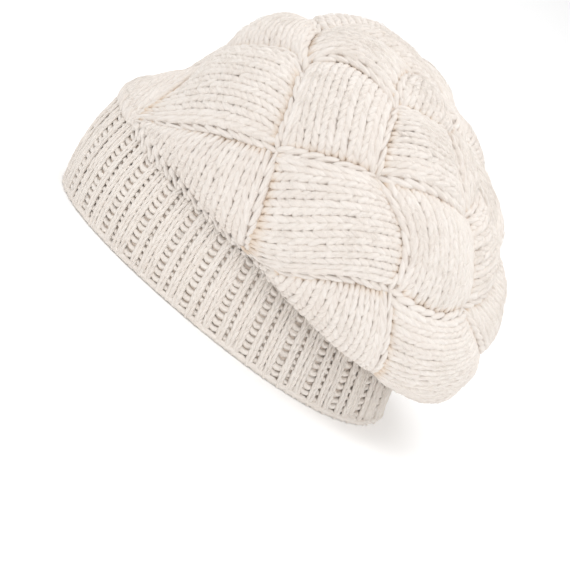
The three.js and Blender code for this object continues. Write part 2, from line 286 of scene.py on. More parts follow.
# Points of a block's bulging cloth in mm. Below the crown's edge it runs on down the band.
def clothPoint(place, across, along):
    spot = place(across, along)
    angle, share = spot[..., 0], np.clip(spot[..., 1], 0, 1)
    height = cushionHeight(across, along, share)
    overBand = 1 + pickUp["bandShares"] * np.minimum(spot[..., 1], 0)
    onBand = bandPoint(angle, overBand) - bandPoint(angle, np.ones_like(overBand))
    return crownPoint(angle, share) + crownNormal(angle, share) * height[..., None] + onBand


def crownOutward(place, across, along):
    spot = place(across, along)
    return crownNormal(spot[..., 0], np.clip(spot[..., 1], 0, 1))


slopeStep = 0.01       # as a share of a block
outwardLean = 0.5      # how far a stitch leans from its cushion's normal to the crown's own


def clothSlope(place, across, along, stepAcross, stepAlong):
    ahead = clothPoint(place, across + stepAcross, along + stepAlong)
    behind = clothPoint(place, across - stepAcross, along - stepAlong)
    return (ahead - behind) / (2 * slopeStep)


# What a stitch follows: the point, the normal, and a whole block's width and length there, in mm.
def crownFrame(place):
    def clothAt(across, along):
        dAcross = clothSlope(place, across, along, slopeStep, 0)
        dAlong = clothSlope(place, across, along, 0, slopeStep)
        outward = crownOutward(place, across, along)
        normal = unit(np.cross(dAcross, dAlong))
        normal *= np.sign(np.sum(normal * outward, -1, keepdims=True))
        normal = unit(normal + outwardLean * outward)
        width, length = np.linalg.norm(dAcross, axis=-1), np.linalg.norm(dAlong, axis=-1)
        return clothPoint(place, across, along), normal, width, length

    return clothAt


yarnSides = 6
fibreSides = 3
patternShift = 1.2     # how far the plies' pattern strays from a length's middle, in mm


# Every length of yarn is a closed tube along a short path, and many of them make one piece.
# paths is (count, steps, 3) in mm, and the widths and heights are (count, steps).
def addYarn(basket, paths, normals, halfWidth, halfThick, height):
    basket.append((paths, normals, halfWidth, halfThick, height, random.uniform(0, 1, len(paths))))


def knit(name, basket, sides, material, nodes):
    paths, normals, halfWidth, halfThick, height, tone = [np.concatenate(part) for part in zip(*basket)]
    count, steps, _ = paths.shape
    print(name, count, "lengths of yarn,", count * (2 * sides * (steps - 1) + 2 * (sides - 2)), "triangles")
    tangent = unit(np.gradient(paths, axis=1))
    aside = unit(np.cross(tangent, normals))
    lift = unit(np.cross(aside, tangent))
    turn = np.linspace(0, 2 * np.pi, sides, endpoint=False)
    ring = aside[:, :, None, :] * (np.cos(turn)[:, None] * halfWidth[:, :, None, None])
    ring = ring + lift[:, :, None, :] * (np.sin(turn)[:, None] * halfThick[:, :, None, None])
    points = (paths[:, :, None, :] + ring).reshape(-1, 3) * mm

    tube = (np.arange(count) * steps * sides)[:, None, None]
    s = (np.arange(steps - 1) * sides)[None, :, None]
    k = np.arange(sides)[None, None, :]
    nextK = (k + 1) % sides
    quads = np.stack([tube + s + k, tube + s + nextK, tube + s + sides + nextK, tube + s + sides + k], -1)
    startCaps = tube[:, 0, :] + np.arange(sides)[None, ::-1]
    endCaps = tube[:, 0, :] + (steps - 1) * sides + np.arange(sides)[None, :]
    corners = np.concatenate([quads.ravel(), startCaps.ravel(), endCaps.ravel()])
    faceSizes = np.concatenate([np.full(quads.size // 4, 4), np.full(2 * count, sides)])
    faceStarts = np.concatenate([[0], np.cumsum(faceSizes)[:-1]])

    mesh = bpy.data.meshes.new(name)
    mesh.vertices.add(len(points))
    mesh.vertices.foreach_set("co", points.ravel())
    mesh.loops.add(len(corners))
    mesh.loops.foreach_set("vertex_index", corners.astype(np.int32))
    mesh.polygons.add(len(faceSizes))
    mesh.polygons.foreach_set("loop_start", faceStarts.astype(np.int32))
    mesh.polygons.foreach_set("use_smooth", np.ones(len(faceSizes), bool))
    mesh.update(calc_edges=True)

    # The uv map holds mm along the yarn and turns round it, and zeros on the caps.
    length = np.zeros((count, steps))
    length[:, 1:] = np.cumsum(np.linalg.norm(np.diff(paths, axis=1), axis=-1), axis=1)
    length += random.uniform(-patternShift, patternShift, (count, 1)) - length[:, -1:] / 2
    u0 = np.broadcast_to(length[:, :-1, None], (count, steps - 1, sides))
    u1 = np.broadcast_to(length[:, 1:, None], (count, steps - 1, sides))
    v0 = np.broadcast_to(k / sides, u0.shape)
    v1 = v0 + 1 / sides
    quadUv = np.stack([u0, v0, u0, v1, u1, v1, u1, v0], -1)
    capUv = np.zeros((startCaps.size + endCaps.size) * 2)
    uv = np.concatenate([quadUv.ravel(), capUv])
    mesh.uv_layers.new(name="yarn").data.foreach_set("uv", uv.astype(np.float32))
    # raised drives the painted gap shade: the deeper a point of the yarn lies, the darker its colour.
    raised = height[:, :, None] + np.sin(turn) * halfThick[:, :, None]
    setValues(mesh, "tone", np.repeat(tone, steps * sides))
    setValues(mesh, "raised", raised.ravel())
    dress(addPiece(name, mesh), material, nodes)


def setValues(mesh, name, values):
    mesh.attributes.new(name, "FLOAT", "POINT").data.foreach_set("value", values.astype(np.float32))


def addPiece(name, mesh):
    piece = bpy.data.objects.new(name, mesh)
    bpy.context.scene.collection.objects.link(piece)
    return piece


def dress(piece, material, nodes):
    piece.data.materials.append(material)
    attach(piece, "root")
    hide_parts(*nodes)


# The cloth under the stitches. points is a list of (count, 3) in mm, and raised has one value a point.
def addCloth(name, points, faces, raised, material, nodes):
    mesh = bpy.data.meshes.new(name)
    mesh.from_pydata((np.concatenate(points) * mm).tolist(), [], faces)
    mesh.shade_smooth()
    setValues(mesh, "raised", np.array(raised))
    dress(addPiece(name, mesh), material, nodes)


# One leg of a V: it climbs from the wale's middle outward, and both ends dive behind other legs.
leg = {
    "steps": 7,
    "start": -0.42,        # where it starts, in rows
    "foot": 0.08,          # from the wale's middle, in wales
    "fatness": 0.25,       # half its width, in wales
    "taper": 0.6,          # its ends, as a share of its middle
    "plumpness": 0.7,      # the lower it is, the sooner the leg is at its full width
    "arch": 0.8,           # the same for its height
    "wobble": 0.05,
    "wobbleAcross": 0.5,   # how strongly its place and its height follow the wobble
    "wobbleUp": 3,
    "creaseShadeSharpness": 6,  # the higher it is, the closer the painted crease shade stays to the block's ends
}


# across, along, waleShare and rowShare hold one value for each stitch, in the frame's own shares.
def addStitches(basket, frame, across, along, waleShare, rowShare, look):
    s = np.linspace(0, 1, leg["steps"])[None, :]
    swell = np.sin(np.pi * s)
    for side in (-1, 1):
        wobble = random.normal(0, leg["wobble"], (len(across), 5))    # the fifth is spare
        reach = side * (leg["foot"] + look["spread"] * s + look["bow"] * swell)
        reach = reach + leg["wobbleAcross"] * wobble[:, :1]
        climb = leg["start"] + look["climb"] * s + wobble[:, 1:2]
        acrossAt = across[:, None] + reach * waleShare[:, None]
        alongAt = along[:, None] + climb * rowShare[:, None]
        point, normal, waleLength, rowLength = frame(acrossAt, alongAt)
        half = np.clip(leg["fatness"] * waleLength * waleShare[:, None], look["thin"], look["fat"])
        half = half * blend(leg["taper"], 1, swell ** leg["plumpness"]) * (1 + wobble[:, 2:3])
        beyond = np.maximum(np.maximum(-alongAt, alongAt - 1), 0) * rowLength
        top = look["raised"] + look["rise"] * (swell ** leg["arch"] - 1) - look["tuck"] * beyond
        top = top + leg["wobbleUp"] * wobble[:, 3:4]
        thick = half * look["flatness"]
        middle = top - thick
        # Painted shade: near the block's ends the yarn counts deeper, so its colour darkens toward the gap
        # shade in the folds.
        creaseShade = look["creaseShade"] * np.abs(2 * np.clip(alongAt, 0, 1) - 1) ** leg["creaseShadeSharpness"]
        addYarn(basket, point + normal * middle[..., None], normal, half, thick, middle - creaseShade)


crownStitch = {
    "wale": 6.85,          # one V, in mm
    "row": 4.3,
    "climb": 1.8,          # how far a leg climbs, in rows, and how far it spreads, in wales
    "spread": 0.34,
    "bow": 0.02,
    "thin": 0.5,
    "fat": 2.2,
    "rise": 0.8,
    "raised": 0.0,
    "flatness": 0.7,
    "tuck": 0.75,          # how fast the cloth dives under its neighbour, in mm for each mm
    "creaseShade": 4.6,         # painted shade in the folds at the block's ends: how much deeper they count for their colour, in mm
    "slip": 0.1,           # how far a column's rows stray, in rows
    "sway": 0.05,          # how far the columns stray, in wales
    "swayTurns": (0.6, 1.3),
}
edgeChain = {
    "pitch": 7.3,
    "wale": 7.0,
    "inset": 1.7,          # the chain's middle from the block's edge, in mm
    "fewest": 2,
    "climb": 1.6,
    "spread": 0.37,
    "bow": 0.03,
    "thin": 1.05,
    "fat": 1.85,
    "rise": 1.3,
    "raised": 0.45,
    "flatness": 0.95,
    "tuck": 0.6,
    "creaseShade": 0.8,
}

# The loops that join a base triangle to the band, pulled long around a small hole each.
pickUp = {
    "wale": 6.85,
    "row": 4.3,
    "start": -0.35,        # in rows
    "fewestRows": 3,
    "bandShares": 2.8,     # how far down the band one share of the crown's height reaches
    "climb": 2.1,
    "spread": 0.36,
    "bow": 0.1,
    "thin": 0.9,
    "fat": 1.5,
    "rise": 1.3,
    "raised": 1.3,
    "flatness": 0.95,
    "tuck": 0.0,
    "creaseShade": 0.0,
}
samples = {"column": 15, "width": 25}    # points along which a block is measured


def columnLengths(place, across):
    along = np.broadcast_to(np.linspace(0, 1, samples["column"]), (len(across), samples["column"]))
    points = clothPoint(place, np.broadcast_to(across[:, None], along.shape), along)
    return np.linalg.norm(np.diff(points, axis=1), axis=-1).sum(1)


def blockWidth(place, along):
    across = np.linspace(0, 1, samples["width"])
    points = clothPoint(place, across, np.full(samples["width"], along))
    return np.linalg.norm(np.diff(points, axis=0), axis=-1).sum()


# Columns of stitches side by side, with a chain along each edge in edges (0 or 1).
def knitBlock(basket, place, width, firstRow, edges):
    frame = crownFrame(place)
    margin = edgeChain["inset"] / width
    knitted = 1 - len(edges) * margin
    wales = round(knitted * width / crownStitch["wale"])
    start = margin if 0.0 in edges else 0.0
    waleShare = knitted / wales
    columns = start + (np.arange(wales) + 0.5) * waleShare
    stitches = []
    drift = random.uniform(0, 2 * np.pi, 2)
    turns = random.uniform(*crownStitch["swayTurns"])
    for number, length in enumerate(columnLengths(place, columns)):
        rows = round(length / crownStitch["row"])
        slip = random.uniform(-crownStitch["slip"], crownStitch["slip"])
        beyondLast = rows + 1 if rows else firstRow    # a column shorter than a row stays empty
        for row in range(firstRow, beyondLast):
            along = (row + slip) / rows
            sway = np.sin(2 * np.pi * turns * along + drift[0]) + np.sin(number + drift[1])
            across = columns[number] + crownStitch["sway"] * waleShare * sway
            stitches.append((across, along, waleShare, 1 / rows))
    addStitches(basket, frame, *np.array(stitches).T, crownStitch)
    for edge in edges:
        across = edge + (margin if edge == 0 else -margin)
        length = columnLengths(place, np.array([across]))[0]
        links = max(edgeChain["fewest"], round(length / edgeChain["pitch"]))
        chain = [(across, link / links, edgeChain["wale"] / width, 1 / links) for link in range(links)]
        addStitches(basket, frame, *np.array(chain).T, edgeChain)


def knitPickUps(basket, place):
    width = blockWidth(place, 0.0)
    loops = round(width / pickUp["wale"])
    columns = (np.arange(loops) + 0.5) / loops
    lengths = np.maximum(columnLengths(place, columns), pickUp["fewestRows"] * pickUp["row"])
    rowShare = pickUp["row"] / lengths
    waleShare = np.full(loops, 1 / loops)
    addStitches(basket, crownFrame(place), columns, pickUp["start"] * rowShare, waleShare, rowShare, pickUp)


clothUnder = {
    "grid": 14,            # points each way in one block
    "under": 1.9,          # its outer and its inner side, in mm under the cushion's surface
    "wall": 6.0,
    "overlap": 0.02,       # how far it runs past the block's edges, as a share of the block
    "topOverlap": -0.004,  # the same at the pole
    "shade": 1.5,          # how much deeper the outer side counts for its colour, in mm, so that it takes the painted gap shade
}


# The cloth that the stitches stand on, closed behind by the crown's inner side. It stands for the fabric
# behind the stitches, and its outer side is coloured with painted shade where it shows between them.
def crownCloth(name, places, material, nodes):
    grid = clothUnder["grid"]
    points, faces, raised = [], [], []
    for number, place in enumerate(places):
        top = number >= len(places) - lattice["around"]
        beyond = clothUnder["topOverlap"] if top else clothUnder["overlap"]
        shares = np.linspace(-clothUnder["overlap"], 1 + beyond, grid)
        across, along = np.meshgrid(shares, shares, indexing="ij")
        point = clothPoint(place, across, along)
        outward = crownOutward(place, across, along)
        for depth in (clothUnder["under"], clothUnder["wall"]):
            points.append((point - outward * depth).reshape(-1, 3))
        faces += shellFaces(grid, len(raised))
        raised += [-clothUnder["under"] - clothUnder["shade"]] * grid * grid + [0.0] * grid * grid
    addCloth(name, points, faces, raised, material, nodes)


# Two square grids of points, the outer one first, closed round their edges.
def shellFaces(grid, first):
    inner = first + grid * grid
    faces = []
    for i in range(grid - 1):
        for j in range(grid - 1):
            a, b, c, d = i * grid + j, (i + 1) * grid + j, (i + 1) * grid + j + 1, i * grid + j + 1
            faces.append((first + a, first + b, first + c, first + d))
            faces.append((inner + a, inner + d, inner + c, inner + b))
    last = grid - 1
    walk = [(i, 0) for i in range(last)] + [(last, j) for j in range(last)]
    walk += [(i, last) for i in range(last, 0, -1)] + [(0, j) for j in range(last, 0, -1)]
    edge = [i * grid + j for i, j in walk]
    for a, b in zip(edge, edge[1:] + edge[:1]):
        faces.append((first + a, inner + a, inner + b, first + b))
    return faces


# The last loops, drawn together at the pole on the yarn's end.
tip = {
    "loops": 15,
    "inner": 0.999,        # where they start and end, in shares of the crown
    "outer": 0.94,
    "swirl": 30,           # how far round they run, in degrees
    "half": 1.85,
    "taper": 0.8,
    "rise": 1.9,
    "dip": 0.4,
    "arch": 0.8,
    "strayTurn": 3,        # in degrees, as a share of half, and in mm
    "strayHalf": 0.06,
    "strayHeight": 0.2,
}
tipCore = {"half": 9.5, "bottom": -8.0, "top": -0.7, "height": 8.0}    # fills the ring under the loops; height is how high it counts for the painted gap shade, high enough to keep it light


def gatherTip(basket):
    s = np.linspace(0, 1, leg["steps"])[None, :]
    loops = tip["loops"]
    strayTurn = random.normal(0, tip["strayTurn"], (loops, 1))
    angle = np.arange(loops)[:, None] * 360 / loops + strayTurn + tip["swirl"] * s
    share = np.broadcast_to(blend(tip["inner"], tip["outer"], s), angle.shape)
    normal = crownNormal(angle, share)
    strayHalf = random.normal(0, tip["strayHalf"], (loops, 1))
    half = tip["half"] * blend(tip["taper"], 1, s) * (1 + strayHalf)
    strayHeight = random.normal(0, tip["strayHeight"], (loops, 1))
    height = tip["rise"] * np.sin(np.pi * s) ** tip["arch"] - tip["dip"] - half + strayHeight
    addYarn(basket, crownPoint(angle, share) + normal * height[..., None], normal, half, half, height)
    axis = unit(normal.reshape(-1, 3).mean(0))
    aside = np.broadcast_to(unit(np.cross(axis, [1, 0, 0])), (1, leg["steps"], 3))
    pole = crownPoint(np.zeros_like(s), np.ones_like(s))
    paths = pole + axis * blend(tipCore["bottom"], tipCore["top"], s)[..., None]
    half = np.full_like(s, tipCore["half"])
    addYarn(basket, paths, aside, half, half, np.full_like(s, tipCore["height"]))


# Loose fibres that stand a little off the knit.
fuzz = {
    "steps": 3,
    "length": 6.5,
    "lengths": (0.5, 1.5),     # the shortest and the longest, as shares of that
    "half": 0.065,
    "lift": 0.6,
    "lifts": (0.6, 1.4),
    "arch": 0.8,
    "sunk": 0.15,
    "curl": 0.9,
    "lowest": 0.02,            # they stay between these shares of the cloth's length
    "highest": 0.94,
    "leeway": 0.02,
    "perBlock": 90,
    "onBlock": (0.1, 0.75),    # where they are rooted, in shares
    "onBand": 500,
    "upBand": (0.05, 0.8),
}


def addFuzz(basket, frame, count, acrossRange, alongRange):
    s = np.linspace(0, 1, fuzz["steps"])[None, :]
    across = random.uniform(*acrossRange, (count, 1))
    along = random.uniform(*alongRange, (count, 1))
    _, _, waleLength, rowLength = frame(across, along)
    heading = random.uniform(0, 2 * np.pi, (count, 1)) + random.normal(0, fuzz["curl"], (count, 1)) * s
    length = fuzz["length"] * random.uniform(*fuzz["lengths"], (count, 1)) * s
    acrossAt = across + length * np.cos(heading) / waleLength
    alongAt = along + length * np.sin(heading) / rowLength
    leeway = fuzz["leeway"] * s
    alongAt = np.clip(alongAt, fuzz["lowest"] + leeway, fuzz["highest"] + leeway)
    point, normal, _, _ = frame(acrossAt, alongAt)
    lift = fuzz["lift"] * random.uniform(*fuzz["lifts"], (count, 1))
    height = lift * np.sin(fuzz["arch"] * np.pi * s) - fuzz["sunk"]
    half = np.full_like(height, fuzz["half"])
    addYarn(basket, point + normal * height[..., None], normal, half, half, height)


# The band: cords of small Vs and ladders of bars, over and over round the head.
band = {
    "ribs": 30,
    "row": 3.43,           # in mm
    "extraRow": 0.4,       # how much of a row more is knitted up into the crown
    "frontAngle": 180,
    "phase": 1.2,          # degrees round
    "evenGirth": 3.46,     # evens out the ribs' spacing round the long head
    "bow": 0.5,
    "topInset": 0.8,
    "foldInset": 4.0,      # drawn in once more under the crown's fold, most at the nape
    "foldSharpness": 4,
    "topGap": 0.5,
    "belly": 1.8,
    "browSwell": 0.8,      # how much more it swells at the forehead than at the ears
}
bandStep = {"angle": 0.5, "share": 0.02}
bandCords = [
    {"middle": 0.270, "width": 0.205, "raised": 0.7},
    {"middle": 0.585, "width": 0.215, "raised": 0.7},
    {"middle": 0.818, "width": 0.205, "raised": 0.6},
]
bandLadders = [
    {"middle": 0.03, "width": 0.36, "half": 1.48, "raised": 0.2, "smile": 0.42},
    {"middle": 0.425, "width": 0.20, "half": 1.4, "raised": -0.1, "smile": 0.2},
    {"middle": 0.702, "width": 0.10, "half": 1.15, "raised": 0.15, "smile": 0.0},
]
ladderBar = {
    "steps": 5,
    "foot": 0.3,           # where it lies in its row, in rows
    "taper": 0.82,
    "rise": 0.7,
    "strayUp": 0.06,       # in rows, the next one too, then as a share of half and in mm
    "strayTilt": 0.05,
    "strayHalf": 0.05,
    "strayHeight": 0.12,
}
bandStitch = {
    "climb": 1.8,
    "spread": 0.31,
    "bow": 0.0,
    "thin": 0.5,
    "fat": 1.3,
    "rise": 0.4,
    "flatness": 0.9,
    "tuck": 0.0,
    "creaseShade": 0.0,
}


def rimPlan(angle, outward):
    cos = np.cos(np.radians(angle))
    sin = np.sin(np.radians(angle))
    halfLength = (headShape["backY"] - headShape["frontY"]) / 2 + outward
    x = rimCentre["x"] + (headShape["halfWidth"] + outward) * sideReach(cos, sin, headShape["egg"], 0)
    y = rimCentre["y"] + (headShape["frontY"] + headShape["backY"]) / 2 + halfLength * cos
    return np.stack([x, y], -1)


def bandPoint(angle, share):
    cos = np.cos(np.radians(angle))
    level = np.clip(share, 0, 1)
    top = crownPoint(angle, np.zeros_like(angle))
    rim = rimPlan(angle, 0)
    outward = unit(rim - rimPlan(angle, -1))
    swell = band["belly"] * (1 - band["browSwell"] * cos)
    underFold = band["foldInset"] * (1 + cos) / 2
    reach = swell * np.sin(np.pi * level) - band["topInset"] * level
    reach = reach - underFold * level ** band["foldSharpness"]
    plan = blend(rim, top[..., :2], share[..., None]) + outward * reach[..., None]
    height = (top[..., 2] - band["topGap"]) * share
    return np.concatenate([plan, height[..., None]], -1)


def bandAngle(across):
    turn = band["frontAngle"] + band["phase"] - 360 / band["ribs"] * across
    return turn + band["evenGirth"] * np.sin(2 * np.radians(turn))


# The same four values as a block's frame gives, with across in ribs and along in shares of the height.
def bandFrame(across, along):
    angle = bandAngle(across) + band["bow"] * np.sin(np.pi * along)
    turn, rise = bandStep["angle"], bandStep["share"]
    around = (bandPoint(angle + turn, along) - bandPoint(angle - turn, along)) / (2 * turn)
    upward = bandPoint(angle, along + rise) - bandPoint(angle, along - rise)
    ribLength = np.linalg.norm(around, axis=-1) * 360 / band["ribs"]
    rowLength = np.linalg.norm(upward, axis=-1) / (2 * rise)
    return bandPoint(angle, along), unit(np.cross(upward, around)), ribLength, rowLength


# The place of every stitch of one column a rib, with the share of the height that a row takes there.
def bandRows(middle):
    stitches = []
    for rib in range(band["ribs"]):
        height = bandPoint(bandAngle(np.array([rib + middle])), np.array([1.0]))[0, 2]
        rows = math.ceil(height / band["row"] + band["extraRow"])
        stitches += [(rib + middle, row, band["row"] / height) for row in range(rows)]
    return np.array(stitches).T


def knitCords(basket, cord):
    across, row, rowShare = bandRows(cord["middle"])
    wale = np.full(len(across), cord["width"])
    look = dict(bandStitch, raised=cord["raised"])
    addStitches(basket, bandFrame, across, row * rowShare, wale, rowShare, look)


def knitLadders(basket):
    s = np.linspace(0, 1, ladderBar["steps"])[None, :]
    swell = np.sin(np.pi * s)
    for ladder in bandLadders:
        middle, row, rowShare = bandRows(ladder["middle"])
        wobble = random.normal(0, 1, (len(row), 4))
        across = middle[:, None] + ladder["width"] * (s - 0.5)
        along = row[:, None] + ladderBar["foot"] + ladder["smile"] * (2 * s - 1) ** 2
        along = along + ladderBar["strayUp"] * wobble[:, :1]
        along = along + ladderBar["strayTilt"] * wobble[:, 1:2] * (2 * s - 1)
        point, normal, _, _ = bandFrame(across, along * rowShare[:, None])
        half = ladder["half"] * blend(ladderBar["taper"], 1, swell)
        half = half * (1 + ladderBar["strayHalf"] * wobble[:, 2:3])
        height = ladder["raised"] + ladderBar["rise"] * (swell - 1)
        height = height + ladderBar["strayHeight"] * wobble[:, 3:4] - half
        addYarn(basket, point + normal * height[..., None], normal, half, half, height)


castOn = {
    "links": 120,
    "start": -0.4,         # where a link starts and how far it runs, in links
    "length": 1.85,
    "share": 0.02,         # how far up the band it is
    "half": 1.45,
    "taper": 0.7,
    "middleZ": 1.9,
    "twist": 1.2,
    "outward": 0.9,
    "strayOut": 0.15,      # in mm
    "strayUp": 0.12,
}
floorGap = 0.02        # between the lowest yarn and the surface that the hat rests on, in mm


def knitCastOn(basket):
    s = np.linspace(0, 1, leg["steps"])[None, :]
    swell = np.sin(np.pi * s)
    wobble = random.normal(0, 1, (castOn["links"], 2))
    link = np.arange(castOn["links"])[:, None] + castOn["start"] + castOn["length"] * s
    across = band["ribs"] / castOn["links"] * link
    point, normal, _, _ = bandFrame(across, np.full_like(across, castOn["share"]))
    half = np.broadcast_to(castOn["half"] * blend(castOn["taper"], 1, swell), across.shape)
    height = castOn["outward"] * swell + castOn["strayOut"] * wobble[:, :1] - half
    paths = point + normal * height[..., None]
    paths[..., 2] = castOn["middleZ"] + castOn["twist"] * (s - 0.5) + castOn["strayUp"] * wobble[:, 1:2]
    addYarn(basket, paths, normal, half, half, height)


def keepAboveFloor(basket):
    for paths, _, halfWidth, _, _, _ in basket:
        paths[..., 2] = np.maximum(paths[..., 2], halfWidth + floorGap)


def knitBandPiece(name, basket):
    keepAboveFloor(basket)
    knit(name, basket, yarnSides, bandWool, ["ribbed_band"])


bandUnder = {
    "around": 180,
    "levels": 12,
    "lowest": 0.03,        # its lower edge, as a share of the band's height
    "under": 1.8,          # its outer and its inner side, in mm under the band's surface
    "wall": 6.5,
    "raised": -4.2,        # how high its outer side counts for its colour, in mm: deep, so that it takes the painted gap shade
    "floorGap": 0.3,
}


# The ring of cloth that the band's stitches stand on, its outer side coloured with painted shade where it
# shows between them.
def bandCloth(name, material, nodes):
    around, levels, lowest = bandUnder["around"], bandUnder["levels"], bandUnder["lowest"]
    across = np.linspace(0, band["ribs"], around, endpoint=False)
    outside = [(share, bandUnder["under"], bandUnder["raised"]) for share in np.linspace(lowest, 1, levels)]
    inside = [(share, bandUnder["wall"], 0.0) for share in np.linspace(1, lowest, levels)]
    points, faces, raised = [], [], []
    for share, depth, value in outside + inside:
        point, normal, _, _ = bandFrame(across, np.full(around, share))
        point = point - normal * depth
        point[:, 2] = np.maximum(point[:, 2], bandUnder["floorGap"])
        points.append(point)
        raised += [value] * around
    loops = 2 * levels
    for k in range(loops):
        n = (k + 1) % loops
        for i in range(around):
            j = (i + 1) % around
            faces.append((k * around + i, k * around + j, n * around + j, n * around + i))
    addCloth(name, points, faces, raised, material, nodes)


# Materials.
def addNode(tree, kind, x, y, **settings):
    node = tree.nodes.new(kind)
    node.location = (x, y)
    for name, value in settings.items():
        setattr(node, name, value)
    return node


def mathNode(tree, x, y, operation, a, b=None, c=None):
    node = addNode(tree, "ShaderNodeMath", x, y, operation=operation)
    for slot, value in enumerate((a, b, c)):
        if isinstance(value, (int, float)):
            node.inputs[slot].default_value = value
        elif value is not None:
            tree.links.new(value, node.inputs[slot])
    return node.outputs[0]


def noiseNode(tree, x, y, vector, look):
    node = addNode(tree, "ShaderNodeTexNoise", x, y)
    for socket, value in look.items():
        node.inputs[socket].default_value = value
    tree.links.new(vector, node.inputs["Vector"])
    return node.outputs["Fac"]


# When it mixes colours, the node's inputs 6 and 7 and its output 2 are the ones in use.
def mixNode(tree, x, y, factor, first, second):
    node = addNode(tree, "ShaderNodeMix", x, y, data_type="RGBA")
    tree.links.new(factor, node.inputs["Factor"])
    tree.links.new(first, node.inputs[6])
    tree.links.new(second, node.inputs[7])
    return node.outputs[2]


wool = {
    "light": (0.87, 0.815, 0.765, 1),
    "dark": (0.80, 0.73, 0.67, 1),
    # The band's two colours are the crown's yarn painted a little lighter: painted light, making up for the
    # shade the band lies in under the crown.
    "bandLight": (0.91, 0.855, 0.80, 1),
    "bandDark": (0.85, 0.78, 0.715, 1),
    # The two gap colours below are painted shade, mixed into the yarn where it lies deep between stitches.
    "crownGapShade": (0.76, 0.63, 0.51, 1),
    "bandGapShade": (0.76, 0.66, 0.58, 1),
    "fibre": (0.99, 0.94, 0.88, 1),
    "roughness": 0.92,
    "specular": 0.15,
    "sheen": 0.15,
    "sheenRoughness": 0.5,
    "bump": 0.6,
    "bumpDistance": 0.0006,
}
yarnDefaults = {
    "Ply Pitch": 15.0,     # mm of yarn for each half turn of the plies
    "Ply Depth": 1.0,
    "Fibre Depth": 0.7,
    "Deep": -4.4,          # the painted gap shade is full at this height and gone at the next one, in mm
    "Shallow": -1.6,
}
yarnPattern = {
    "plies": 2.0,
    "fibreAlong": 0.55,    # how fine the fibres are along the yarn and round it
    "fibreRound": 16.0,
    "fibreShift": 300.0,   # makes one length of yarn unlike the next
    "fibres": {"Scale": 1.6, "Detail": 4, "Roughness": 0.7},
    "drift": {"Scale": 22, "Detail": 3},
    "toneShare": 0.45,     # how much each one darkens the yarn, while the plies' ridges are painted lighter than their grooves, a painted shade
    "driftShare": 0.7,
    "fibreShare": 0.6,
    "plyShadeShare": 0.35,
    "lightest": 0.3,
    "darkest": 1.1,
}


